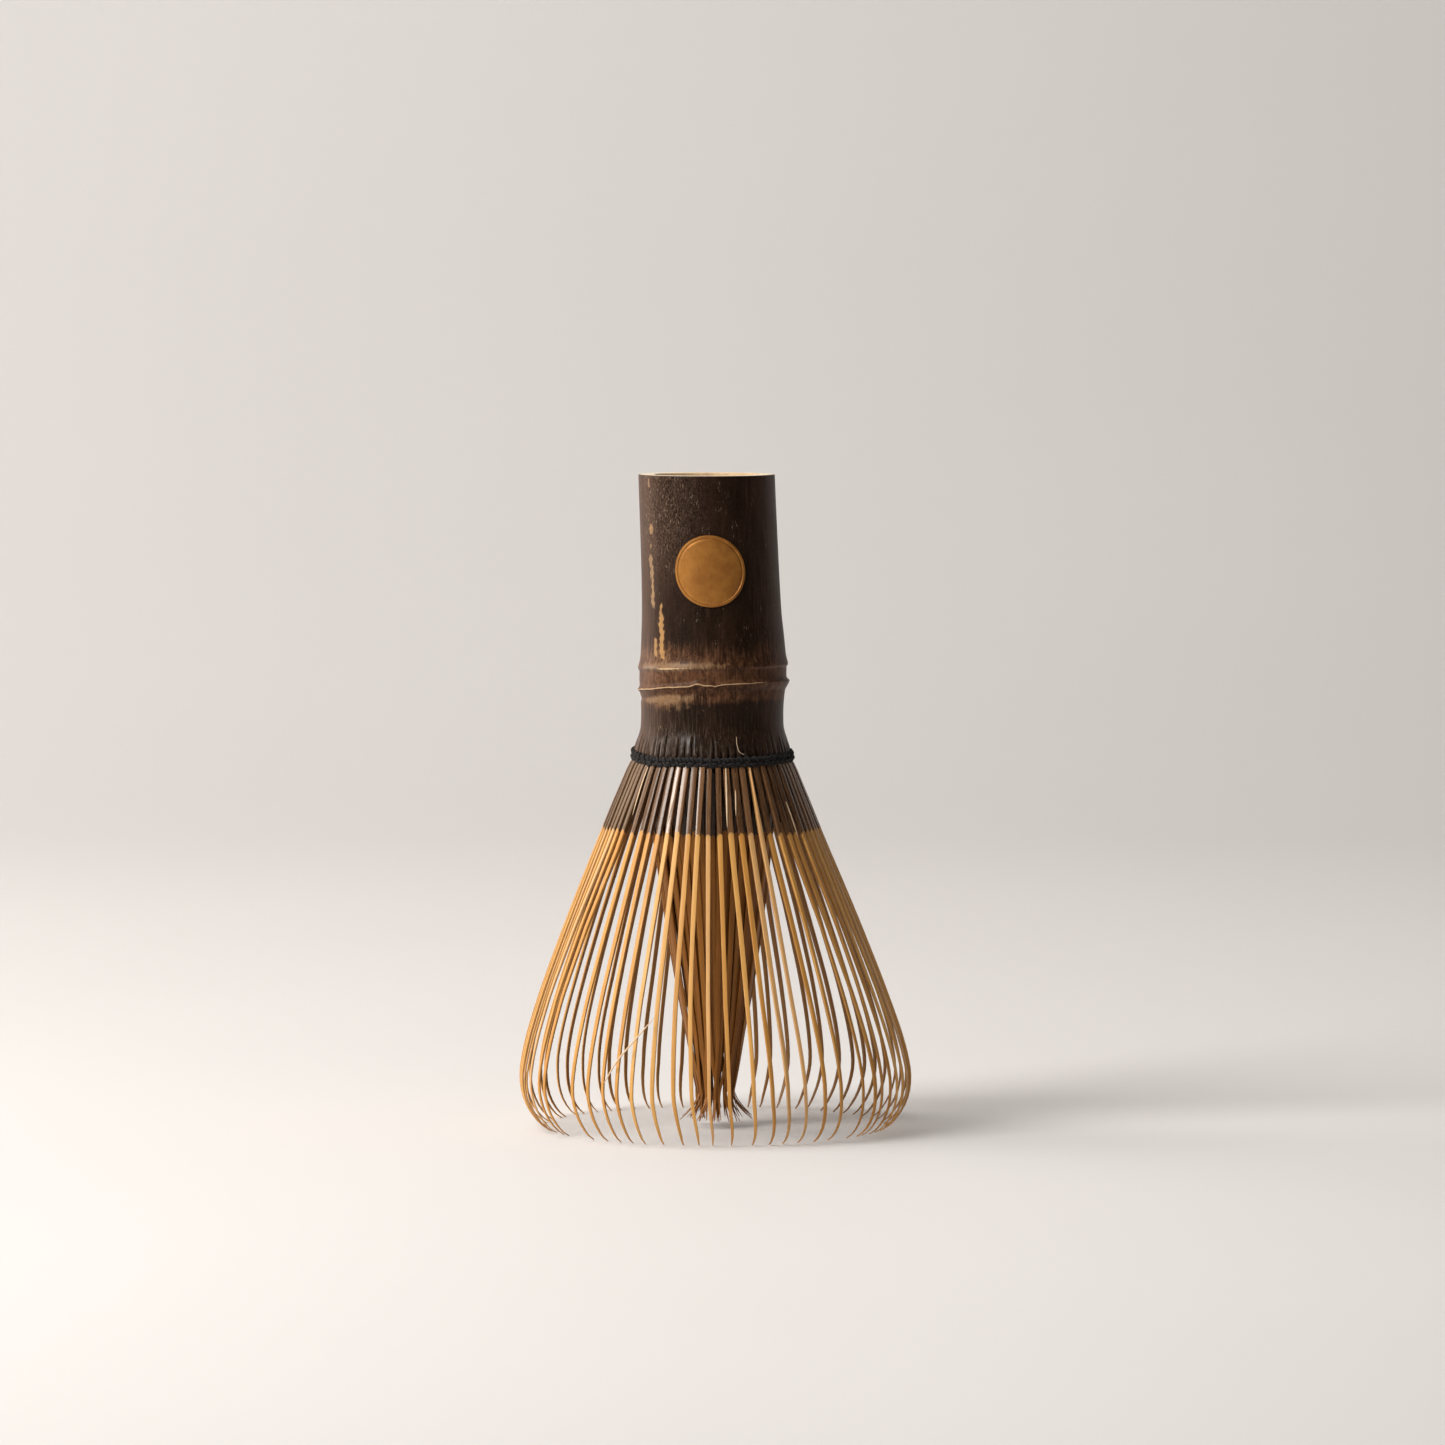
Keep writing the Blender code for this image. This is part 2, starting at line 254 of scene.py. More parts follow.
class Graph:
    """A material's nodes, put together with few words."""

    def __init__(self, name):
        self.material = bpy.data.materials.new(name)
        self.material.use_nodes = True
        self.tree = self.material.node_tree
        self.shader = self.tree.nodes["Principled BSDF"]

    def feed(self, socket, value):
        if isinstance(value, bpy.types.NodeSocket):
            self.tree.links.new(value, socket)
        else:
            socket.default_value = value

    def put(self, kind, inputs=None, **settings):
        made = self.tree.nodes.new("ShaderNode" + kind)
        for key, value in settings.items():
            setattr(made, key, value)
        for key, value in (inputs or {}).items():
            self.feed(made.inputs[key], value)
        return made

    def mark(self, name, kind="Fac"):
        return self.put("Attribute", attribute_name=name).outputs[kind]

    def place(self):
        return self.put("TexCoord").outputs["Object"]

    def scaled(self, vector, scale, location=(0, 0, 0)):
        inputs = {"Vector": vector, "Scale": scale, "Location": location}
        return self.put("Mapping", inputs).outputs["Vector"]

    def noise(self, vector, scale, detail=3.0, rough=0.55, bend=0.0):
        inputs = {"Vector": vector, "Scale": scale, "Detail": detail, "Roughness": rough, "Distortion": bend}
        return self.put("TexNoise", inputs).outputs["Fac"]

    def cells(self, vector, scale):
        return self.put("TexVoronoi", {"Vector": vector, "Scale": scale}, feature="F1").outputs["Distance"]

    def maths(self, operation, a, b=0.0, c=0.0):
        made = self.put("Math", operation=operation)
        for socket, value in zip(made.inputs, (a, b, c)):
            self.feed(socket, value)
        return made.outputs[0]

    def between(self, value, low, high, to_low=0.0, to_high=1.0, smooth=True):
        inputs = {"Value": value, "From Min": low, "From Max": high, "To Min": to_low, "To Max": to_high}
        kind = "SMOOTHSTEP" if smooth else "LINEAR"
        return self.put("MapRange", inputs, interpolation_type=kind, clamp=True).outputs["Result"]

    def mix(self, share, a, b):
        made = self.put("Mix", data_type="RGBA", blend_type="MIX")
        for index, value in ((0, share), (6, a), (7, b)):
            if isinstance(value, tuple) and len(value) == 3:
                value = (*value, 1.0)
            self.feed(made.inputs[index], value)
        return made.outputs[2]

    def bump(self, height, depth_mm, strength=1.0):
        inputs = {"Height": height, "Strength": strength, "Distance": depth_mm * MM}
        return self.put("Bump", inputs).outputs["Normal"]

    def done(self, **sockets):
        for name, value in sockets.items():
            name = name.replace("_", " ").title().replace("Ior", "IOR")
            if isinstance(value, tuple) and len(value) == 3:
                value = (*value, 1.0)
            self.feed(self.shader.inputs[name], value)
        return self.material


def skin_material():
    """Smoked bamboo skin on the handle: near black, redder at the node, scraped pale in streaks, with painted
    light.
    """
    g = Graph("smoked_bamboo_skin")
    place = g.place()
    streaks = g.noise(g.scaled(place, (2600, 2600, 130)), 1.0, 4.0, 0.65)
    broad = g.noise(g.scaled(place, (520, 520, 60)), 1.0, 3.0, 0.6)
    cloud = g.noise(g.scaled(place, (190, 190, 110)), 1.0, 4.0, 0.65, 0.6)
    clump = g.noise(g.scaled(place, (720, 720, 560), (0.3, 0.1, 0.7)), 1.0, 4.0, 0.7, 1.1)
    fine = g.noise(g.scaled(place, (7000, 7000, 1300)), 1.0, 3.0, 0.7)
    dark = g.mix(g.between(cloud, 0.35, 0.68), (0.0088, 0.0036, 0.0014), (0.0175, 0.0078, 0.0037))
    dark = g.mix(g.between(streaks, 0.5, 0.74, 0.0, 0.5), dark, (0.044, 0.022, 0.0125))
    dark = g.mix(g.between(broad, 0.5, 0.72, 0.0, 0.35), dark, (0.03, 0.0145, 0.0085))
    dark = g.mix(g.between(fine, 0.56, 0.72, 0.0, 0.35), dark, (0.06, 0.034, 0.022))
    reddish = g.mix(g.between(clump, 0.36, 0.66), (0.042, 0.0158, 0.0062), (0.122, 0.053, 0.0245))
    reddish = g.mix(g.between(streaks, 0.5, 0.72, 0.0, 0.6), reddish, (0.16, 0.083, 0.045))
    reddish = g.mix(g.between(fine, 0.56, 0.72, 0.0, 0.35), reddish, (0.22, 0.125, 0.076))
    tone = g.maths("ADD", g.mark("red"), g.between(streaks, 0.3, 0.7, -0.24, 0.24, False))
    tone = g.maths("ADD", tone, g.between(cloud, 0.3, 0.7, -0.2, 0.2, False))
    colour = g.mix(g.between(tone, 0.25, 0.95), dark, reddish)
    tan = g.maths("ADD", g.mark("tan"), g.between(clump, 0.3, 0.7, -0.32, 0.3, False))
    tan = g.maths("ADD", tan, g.between(streaks, 0.3, 0.7, -0.16, 0.16, False))
    tan_colour = g.mix(g.between(fine, 0.35, 0.65), (0.17, 0.092, 0.044), (0.28, 0.17, 0.09))
    colour = g.mix(g.between(tan, 0.3, 1.0, 0.0, 0.9), colour, tan_colour)
    # Lighter streaks painted along both sides of the handle: painted edge reflection and rim light.
    painted_side_light = g.maths("MULTIPLY", g.mark("painted_side_light"), g.between(streaks, 0.3, 0.62, 0.12, 0.62))
    colour = g.mix(painted_side_light, colour, (0.125, 0.064, 0.04))
    fibre = g.noise(g.scaled(place, (4300, 4300, 240)), 1.0, 3.0, 0.6)
    frayed = g.maths("MULTIPLY", g.mark("frayed"), g.between(fibre, 0.48, 0.63, 0.0, 0.7))
    colour = g.mix(frayed, colour, (0.082, 0.056, 0.042))
    pale = g.maths("ADD", g.mark("pale"), g.between(clump, 0.3, 0.7, -0.34, 0.2, False))
    pale = g.maths("ADD", pale, g.between(fine, 0.3, 0.7, -0.26, 0.26, False))
    pale_colour = g.mix(g.mark("warm"), (0.25, 0.165, 0.1), (0.43, 0.235, 0.085))
    pale_colour = g.mix(g.between(fine, 0.42, 0.62, 0.0, 0.5), pale_colour, (0.2, 0.115, 0.058))
    colour = g.mix(g.between(pale, 0.32, 0.78, 0.0, 0.95), colour, pale_colour)
    # The golden line along the lower ridge, and in the same mark a highlight painted along the upper ridge at
    # the left front.
    gold = g.maths("ADD", g.mark("crest_and_painted_highlight"), g.between(clump, 0.3, 0.7, -0.2, 0.2, False))
    colour = g.mix(g.between(gold, 0.4, 0.7, 0.0, 0.95), colour, (0.52, 0.345, 0.19))
    speckled = g.mark("speckled")
    dust = g.noise(g.scaled(place, (5200, 5200, 2300)), 1.0, 3.0, 0.7)
    dusty = g.maths("MULTIPLY", g.between(dust, 0.42, 0.68), g.between(speckled, 0.0, 1.0, 0.06, 0.75))
    colour = g.mix(dusty, colour, (0.125, 0.075, 0.05))
    flecks = g.noise(g.scaled(place, (4000, 4000, 1150)), 1.0, 2.0, 0.6, 0.4)
    patches = g.noise(g.scaled(place, (420, 420, 240)), 1.0, 3.0, 0.6)
    patches = g.maths("ADD", patches, g.maths("MULTIPLY", speckled, 0.2))
    fleck = g.maths("MULTIPLY", g.between(flecks, 0.6, 0.69), g.between(patches, 0.56, 0.72))
    colour = g.mix(g.maths("MULTIPLY", fleck, 0.7), colour, (0.25, 0.18, 0.13))
    relief = g.maths("ADD", g.maths("MULTIPLY", streaks, 0.7), g.maths("MULTIPLY", fine, 0.3))
    rough = g.between(g.maths("ADD", cloud, streaks), 0.7, 1.3, 0.34, 0.5, False)
    return g.done(
        base_color=colour, roughness=rough, normal=g.bump(relief, 0.022, 0.6),
        specular_ior_level=0.1, coat_weight=g.mark("gloss"), coat_roughness=0.26,
    )


def cut_material():
    """The sawn end of the culm: cream, with the dark dots of its fibre bundles, closest by the skin."""
    g = Graph("sawn_bamboo")
    place = g.place()
    radius = g.mark("radius")
    flat = g.scaled(place, (1, 1, 0))
    dots = g.cells(flat, 2100)
    fewer = g.cells(flat, 1150)
    near_skin = g.between(radius, 10.0, 11.0)
    dot = g.mix(near_skin, g.between(fewer, 0.34, 0.2), g.between(dots, 0.42, 0.25))
    rings = g.noise(g.scaled(place, (900, 900, 900)), 1.0, 3.0)
    colour = g.mix(rings, (0.7, 0.56, 0.38), (0.86, 0.76, 0.6))
    colour = g.mix(g.maths("MULTIPLY", dot, 0.75), colour, (0.3, 0.17, 0.08))
    colour = g.mix(g.between(radius, 11.55, 11.72), colour, (0.07, 0.04, 0.025))
    relief = g.noise(g.scaled(place, (3000, 3000, 3000)), 1.0, 3.0)
    return g.done(
        base_color=colour,
        roughness=g.between(rings, 0.3, 0.7, 0.55, 0.75),
        normal=g.bump(relief, 0.05, 0.5),
    )


def bore_material():
    """Inside the culm: pale papery wall with fine lengthwise fibres."""
    g = Graph("culm_inside")
    place = g.place()
    streaks = g.noise(g.scaled(place, (2400, 2400, 120)), 1.0, 4.0, 0.6)
    cloud = g.noise(place, 260, 3.0)
    colour = g.mix(streaks, (0.42, 0.27, 0.13), (0.74, 0.56, 0.34))
    colour = g.mix(g.between(cloud, 0.4, 0.75, 0.0, 0.5), colour, (0.3, 0.18, 0.09))
    return g.done(
        base_color=colour,
        roughness=g.between(streaks, 0.3, 0.7, 0.6, 0.8),
        normal=g.bump(streaks, 0.06, 0.6),
    )


def tine_material(
    name, bare_low, bare_high, bare_pink, inward_face_shade, skin_end, skin_low, skin_high, skin_painted_lit, shine
):
    """A tine: dark skin above, shaved to pale wood below, with its fibres running along it."""
    g = Graph(name)
    grain = g.mark("grain", "Vector")
    tint = g.mark("tint")
    fibres = g.noise(g.scaled(grain, (9.0, 9.0, 0.22)), 1.0, 4.0, 0.6)
    slow = g.noise(g.scaled(grain, (0.9, 0.9, 0.12)), 1.0, 3.0, 0.5)
    fine = g.noise(g.scaled(grain, (22.0, 22.0, 2.2)), 1.0, 2.0, 0.5)
    bare = g.mix(tint, bare_low, bare_high)
    bare = g.mix(g.between(g.mark("blush"), 0.0, 1.0), bare, bare_pink)
    bare = g.mix(g.between(fibres, 0.5, 0.76, 0.0, 0.55), bare, tuple(c * 0.62 for c in bare_low))
    bare = g.mix(g.between(slow, 0.45, 0.75, 0.0, 0.4), bare, tuple(min(1.0, c * 1.12) for c in bare_high))
    # Shade painted on the inward face of the tine, and partly across its sides.
    bare = g.mix(g.maths("MULTIPLY", g.mark("inside"), 0.9), bare, inward_face_shade)
    skin = g.mix(g.between(fibres, 0.4, 0.7), skin_low, skin_high)
    lighter = g.mix(g.between(fibres, 0.4, 0.7), skin_high, tuple(c * 1.6 for c in skin_high))
    skin = g.mix(tint, skin, lighter)
    # The skin of the tines at the whisk's left painted lighter and more golden: painted light where the lamps
    # fall.
    faded = g.maths("MULTIPLY", g.mark("faded"), g.between(fibres, 0.2, 0.6, 0.5, 0.9))
    skin = g.mix(faded, skin, skin_painted_lit)
    skin = g.mix(g.between(fine, 0.6, 0.75, 0.0, 0.35), skin, tuple(c * 3.0 for c in skin_high))
    height = g.maths("ADD", g.mark("height"), g.between(fibres, 0.3, 0.7, -0.22, 0.22, False))
    covered = g.between(height, skin_end - 0.1, skin_end + 0.1)
    scraped = g.maths("ADD", g.mark("pale"), g.between(fibres, 0.3, 0.7, -0.2, 0.2, False))
    covered = g.maths("MULTIPLY", covered, g.between(scraped, 0.55, 0.4))
    near_edge = g.between(height, skin_end - 1.4, skin_end, 0.0, 0.3)
    edge = g.maths("MULTIPLY", near_edge, g.between(fibres, 0.35, 0.65))
    bare = g.mix(edge, bare, tuple(c * 0.5 for c in bare_low))
    bare = g.mix(g.mark("cream"), bare, (0.66, 0.5, 0.33))
    colour = g.mix(covered, bare, skin)
    rough_bare = g.between(fibres, 0.3, 0.7, 0.36, 0.55, False)
    rough_skin = g.between(fibres, 0.3, 0.7, 0.2, 0.34, False)
    rough = g.put("Mix", {0: covered, 2: rough_bare, 3: rough_skin}).outputs[0]
    relief = g.maths("ADD", g.maths("MULTIPLY", fibres, 0.75), g.maths("MULTIPLY", fine, 0.25))
    return g.done(
        base_color=colour, roughness=rough, normal=g.bump(relief, 0.01, 0.6), specular_ior_level=shine,
        coat_weight=g.maths("MULTIPLY", covered, g.mark("gloss")), coat_roughness=0.17,
    )


def thread_material():
    """Black cotton, the fibres of each ply turning round it."""
    g = Graph("black_cotton")
    grain = g.mark("grain", "Vector")
    lay = g.noise(g.scaled(grain, (3.2, 3.2, 11.0)), 1.0, 3.0, 0.6, 0.2)
    fuzz = g.noise(g.place(), 5200, 3.0, 0.6)
    colour = g.mix(g.between(lay, 0.35, 0.7), (0.0045, 0.0038, 0.0036), (0.017, 0.0145, 0.014))
    colour = g.mix(g.between(fuzz, 0.58, 0.74, 0.0, 0.5), colour, (0.05, 0.045, 0.045))
    relief = g.maths("ADD", lay, g.maths("MULTIPLY", fuzz, 0.4))
    return g.done(
        base_color=colour,
        roughness=g.between(lay, 0.3, 0.7, 0.72, 0.9, False),
        normal=g.bump(relief, 0.07, 0.9),
        sheen_weight=0.06, sheen_roughness=0.5, specular_ior_level=0.25,
    )


def seal_material():
    """Matt gold leaf, a little worn, with the grain of the skin under it."""
    g = Graph("gold_leaf")
    place = g.place()
    grain = g.noise(g.scaled(place, (3200, 3200, 700)), 1.0, 4.0, 0.6)
    speckle = g.noise(place, 4200, 3.0, 0.65)
    cloud = g.noise(place, 330, 3.0)
    colour = g.mix(g.between(cloud, 0.3, 0.7), (0.29, 0.108, 0.015), (0.4, 0.165, 0.026))
    colour = g.mix(g.between(speckle, 0.55, 0.72, 0.0, 0.45), colour, (0.5, 0.25, 0.06))
    colour = g.mix(g.between(grain, 0.56, 0.74, 0.0, 0.5), colour, (0.15, 0.06, 0.012))
    rough = g.between(speckle, 0.3, 0.7, 0.38, 0.56, False)
    return g.done(base_color=colour, metallic=0.5, roughness=rough, normal=g.bump(speckle, 0.03, 0.5))


def room_material(name, low, high, rough_low, rough_high):
    g = Graph(name)
    place = g.place()
    cloud = g.noise(place, 3.0, 2.0)
    tooth = g.noise(place, 900, 3.0)
    return g.done(
        base_color=g.mix(cloud, low, high),
        roughness=g.between(cloud, 0.3, 0.7, rough_low, rough_high),
        normal=g.bump(tooth, 0.02, 0.15),
    )


SKIN = skin_material()
SAWN = cut_material()
INSIDE = bore_material()
OUTER_BAMBOO = tine_material(
    "outer_tine_bamboo",
    # The fourth colour is the painted shade of the inward faces; the eighth is the light painted on the skin
    # at the whisk's left.
    (0.51, 0.232, 0.05), (0.69, 0.38, 0.115), (0.63, 0.36, 0.155), (0.24, 0.115, 0.036),
    SKIN_ENDS_OUTER, (0.04, 0.0175, 0.0065), (0.175, 0.088, 0.04), (0.112, 0.058, 0.021), 0.26,
)
# The inner tines' colours are darker than the outer tines' bamboo: partly the bamboo's own deeper tone, partly
# painted shade of the bundle's inside.
INNER_BAMBOO = tine_material(
    "inner_tine_bamboo",
    (0.185, 0.064, 0.008), (0.35, 0.135, 0.02), (0.26, 0.105, 0.02), (0.15, 0.053, 0.009),
    SKIN_ENDS_INNER, (0.016, 0.0072, 0.0028), (0.036, 0.017, 0.007), (0.04, 0.02, 0.01), 0.2,
)
COTTON = thread_material()
GOLD = seal_material()


# ---------------------------------------------------------------- the culm


MIDDLE_LINE = spline(MIDDLE, 200)
CULM_LINE = spline(CULM_PROFILE, 900)


def middle(height):
    return np.interp(height, MIDDLE_LINE[:, 0], MIDDLE_LINE[:, 1])


def culm_place(height, radius, angle):
    """Points on the culm, in mm."""
    return np.stack([middle(height) + radius * np.cos(angle), radius * np.sin(angle), height], axis=-1)


def ridge_slope(angle):
    return 0.77 * np.cos(angle) - 0.66 * np.sin(angle)


def ridge_line(angle):
    """How far the lower ridge climbs and dips round the node, in mm. It is highest at the right front."""
    from_front = away(angle, FRONT)
    kink = 0.34 * bump_at(from_front, -11.5, 4) - 0.15 * bump_at(from_front, 1.8, 2.4)
    kink = kink + 0.1 * bump_at(from_front, -34, 14) - 0.3 * bump_at(from_front, 158, 7)
    return ridge_slope(angle) + kink + 0.03 * np.sin(13 * angle) + 0.02 * np.sin(31 * angle + 1)


def upper_ridge_line(angle):
    return 0.37 * np.cos(angle) - 0.3 * np.sin(angle) + 0.03 * np.sin(9 * angle)


def droop(angle):
    """How far the thread and the foot of the collar hang down at the left front and rise behind, in mm."""
    front = away(angle, FRONT)
    lower = 0.55 * bump_at(front, -45, 30) + 0.3 * bump_at(front, 8, 30)
    return 0.24 * np.sin(angle) - lower + 0.4 * bump_at(front, -125, 32) + 0.3 * bump_at(front, 125, 32)


def culm_radius(height, angle):
    """Outer radius of the culm's skin in mm, with its ridges, its dents and the slats of its collar."""
    radius = np.interp(height, CULM_LINE[:, 0], CULM_LINE[:, 1])
    lower = height - LOWER_RIDGE - ridge_line(angle)
    to_right = np.cos(angle)
    below = bump_at(lower, 0, 0.75 + 0.4 * to_right)
    radius = radius + (0.44 + 0.12 * to_right) * np.where(lower > 0, bump_at(lower, 0, 0.42), below)
    radius = radius + 0.07 * bump_at(lower, -0.06, 0.15)
    radius = radius - (0.12 - 0.06 * to_right) * bump_at(lower, -1.5, 0.45)
    upper = height - UPPER_RIDGE - upper_ridge_line(angle)
    radius = radius + 0.29 * np.where(upper > 0, bump_at(upper, 0, 1.15), bump_at(upper, 0, 0.3))
    radius = radius + 0.03 * np.sin(3 * angle + 1.1 + 0.03 * height)
    radius = radius + 0.012 * np.sin(7 * angle + 0.09 * height)
    slat = (angle - TURNED) / TINE_ANGLE
    number = np.round(slat).astype(int) % TINES
    starts = SLATS_FROM + 1.6 * np.array([chance(n, 31) for n in range(TINES)])[number]
    opened = step(-height, -starts, -starts + 2.4)
    beside = np.abs(slat - np.round(slat)) * 2
    groove = bump_at(beside, 0, 0.16) * opened
    crown = (1 - (1 - beside) ** 2) * opened
    round_end = crown * bump_at(height, 66.0, 0.7)
    return radius - 0.3 * groove + 0.11 * crown + 0.1 * round_end


def culm():
    """The handle, the node and the collar, as one skin with its sawn end and its inside."""
    heights = np.concatenate(
        [np.arange(COLLAR_END, 71.0, 0.2), np.arange(71.0, 83.0, 0.11), np.arange(83.0, ARRIS, 0.3)]
    )
    angle = np.arange(CULM_COLUMNS) * TAU / CULM_COLUMNS
    grid_h, grid_a = np.meshgrid(heights, angle, indexing="ij")
    skin = culm_radius(grid_h, grid_a)
    dropped = grid_h + droop(grid_a) * step(-grid_h, -68.5, -65.5)
    rings = [(dropped[i], skin[i]) for i in range(len(heights))]
    edge = culm_radius(np.full(CULM_COLUMNS, ARRIS), angle)
    for drop, inset in SAWN_END:
        rings.append((np.full(CULM_COLUMNS, TOP - drop), edge - inset))
    last_cut = len(rings) - 1
    wobble = 0.12 * np.sin(2 * angle + 1.0) + 0.05 * np.sin(5 * angle)
    for height, radius in BORE:
        rings.append((np.full(CULM_COLUMNS, height), radius + wobble * min(1.0, radius / 8)))
    outer_rings = len(rings)
    for height, radius in HOLLOW:
        rings.append((np.full(CULM_COLUMNS, height), np.full(CULM_COLUMNS, radius)))
    points = np.concatenate([culm_place(h, r, angle) for h, r in rings])
    all_h = np.concatenate([h for h, r in rings])
    all_r = np.concatenate([r for h, r in rings])
    all_a = np.tile(angle, len(rings))

    n = CULM_COLUMNS
    faces = []
    for i in range(len(rings) - 1):
        if i != outer_rings - 1:
            a, b = i * n, (i + 1) * n
            faces += [(a + j, a + (j + 1) % n, b + (j + 1) % n, b + j) for j in range(n)]
    faces.append(tuple(range((outer_rings - 1) * n, outer_rings * n)))
    faces.append(tuple(range(outer_rings * n, (outer_rings + 1) * n))[::-1])
    last = (len(rings) - 1) * n
    faces += [(last + j, last + (j + 1) % n, (j + 1) % n, j) for j in range(n)]

    marks = culm_marks(all_h, all_a)
    pile = Pile()
    pile.add(points, faces, radius=all_r, **marks)
    made = pile.piece("culm", "handle", SKIN, ["culm_handle"], sharp=60)
    made.data.materials.append(SAWN)
    made.data.materials.append(INSIDE)
    skin_faces = len(heights) * n
    cut_faces = last_cut * n
    material = np.zeros(len(faces), np.int32)
    material[skin_faces + n:] = 1
    material[cut_faces:] = 2
    made.data.polygons.foreach_set("material_index", material)
    closed = bmesh.new()
    closed.from_mesh(made.data)
    bmesh.ops.recalc_face_normals(closed, faces=closed.faces[:])
    closed.to_mesh(made.data)
    closed.free()
    return made


# Streaks where the skin is scraped off the handle: azimuth from the front at the top and the foot in
# degrees, heights of top and foot, half width in degrees, and warmth from grey-beige 0 to golden 1
SCRAPES = (
    (-57.2, -57.0, 105.2, 103.2, 3.4, 0.55),
    (-58.6, -57.6, 112.9, 111.3, 1.6, 0.3),
    (-58.5, -57.5, 99.8, 95.6, 3.3, 0.25),
    (-57.6, -55.5, 96.4, 92.6, 2.1, 0.35),
    (-56.5, -56.0, 93.4, 90.6, 3.2, 0.25),
    (-46.2, -44.4, 89.8, 81.9, 3.1, 1.0),
    (-46.0, -46.2, 91.6, 89.0, 1.6, 0.8),
    (-53.5, -51.0, 85.4, 82.2, 2.2, 0.75),
    (-57.6, -57.2, 101.7, 100.9, 2.0, 0.2),
    (118.0, 121.0, 104.0, 96.5, 1.8, 0.5),
    (141.0, 139.0, 94.0, 84.0, 1.9, 0.8),
    (-128.0, -131.0, 108.0, 103.0, 1.6, 0.3),
)


def culm_marks(height, angle):
    """Where the skin is red, tan, scraped pale, golden on its ridge, or speckled, and where light is painted
    on it, from 0 to 1.
    """
    front = away(angle, FRONT)
    lower = height - LOWER_RIDGE - ridge_line(angle)
    upper = height - UPPER_RIDGE - upper_ridge_line(angle)
    below = height - LOWER_RIDGE - ridge_slope(angle)
    left = bump_at(front, -55, 45)
    red = np.where(upper > 0, step(-upper, -7.5, -0.6) * (0.62 + 0.5 * left), 0.95)
    red = np.where(lower < 0, 0.75 * step(below, -4.4, -2.6), red)
    under_spread = 0.12 + 1.0 * bump_at(front, -46, 27) + 0.3 * bump_at(front, 84, 24)
    under = bump_at(below, -1.9, 0.85) * under_spread
    under = under + 0.5 * bump_at(below, -3.2, 1.5) * bump_at(front, -30, 30)
    # The tan along the top of the upper ridge and just above it, strongest towards the left front, is partly
    # the skin's own tan and partly painted highlight.
    shoulder_spread = 0.12 + 0.78 * bump_at(front, -28, 38) + 0.3 * bump_at(front, 150, 40)
    shoulder = bump_at(upper, 0.35, 0.7) * shoulder_spread
    above = 0.5 * bump_at(upper, 2.0, 2.0) * (0.2 + 0.9 * left)
    tan = under + shoulder + above + 0.22 * np.where((lower > 0.2) & (upper < -0.2), left, 0.0)
    bright_front = 0.2 + 0.95 * step(-front, -60, -24) * step(front, -95, -70)
    crest_and_painted_highlight = bump_at(lower, -0.05, 0.095) * bright_front
    # A highlight painted as a thin pale line along the upper ridge at the left front, kept in the same mark as
    # the golden line along the lower ridge.
    painted_ridge_highlight = bump_at(upper, 0.06, 0.2) * (0.85 * bump_at(front, -38, 15) + 0.4 * bump_at(front, -14, 12))
    crest_and_painted_highlight = np.maximum(crest_and_painted_highlight, painted_ridge_highlight)
    bright_back = 0.8 * bump_at(away(angle, FRONT + math.pi), 0, 70)
    crest_and_painted_highlight = np.maximum(crest_and_painted_highlight, bump_at(lower, -0.05, 0.11) * bright_back)
    pale = np.zeros_like(height)
    warm = np.zeros_like(height)
    for top_at, foot_at, top, foot, half, warmth in SCRAPES:
        share = np.clip((top - height) / (top - foot), 0, 1)
        middle_at = top_at + (foot_at - top_at) * share + 0.5 * np.sin(height * 1.9 + top)
        wide = half * (0.75 + 0.5 * np.sin(height * 2.7 + foot) ** 2)
        ends = step(height, foot - 0.5, foot + 0.5) * step(-height, -top - 0.5, -top + 0.5)
        mark = ends * step(-np.abs(front - middle_at), -wide * 1.4, -wide * 0.3)
        warm = np.where(mark > pale, warmth, warm)
        pale = np.maximum(pale, mark)
    speckled = np.clip(0.08 + 0.95 * step(height, 90.0, 106.0) * bump_at(front, -47, 36), 0, 1)
    speckled = speckled * step(height, 81.0, 84.0)
    # Lighter streaks painted along both sides of the handle, where its edges catch light: painted edge
    # reflection at the left, painted rim light at the right.
    painted_side_light = step(-front, 30, 80) * step(front, -160, -115)
    painted_side_light = painted_side_light + 0.6 * step(front, 22, 62) * step(-front, -160, -110)
    frayed = step(-height, -75.5, -69.0) * (0.3 + 0.7 * bump_at(front, -45, 50))
    slat = np.round((angle - TURNED) / TINE_ANGLE).astype(int) % TINES
    polish = np.array([0.5 + 0.5 * chance(n, 19) for n in range(TINES)])[slat]
    slats = step(-height, -69.4, -67.0) * polish * (0.3 + 0.7 * bump_at(front, -28, 26))
    gloss = np.maximum(slats, 0.9 * bump_at(upper, 0.12, 0.4) * bump_at(front, -40, 28))
    return {
        "red": red, "tan": tan, "crest_and_painted_highlight": crest_and_painted_highlight, "pale": pale, "warm": warm, "speckled": speckled,
        "painted_side_light": painted_side_light, "frayed": frayed, "gloss": gloss,
    }


# ---------------------------------------------------------------- the tines


# At the front the tines have parted: how far they have slipped round at the belly, in degrees
SLIPPED_BACK_AT_LEFT = 8.0
SLIPPED_ON_AT_RIGHT = 4.0
SLIPPED_BACK_AT_MIDDLE = 1.0
UPPER_SHARE = 0.3


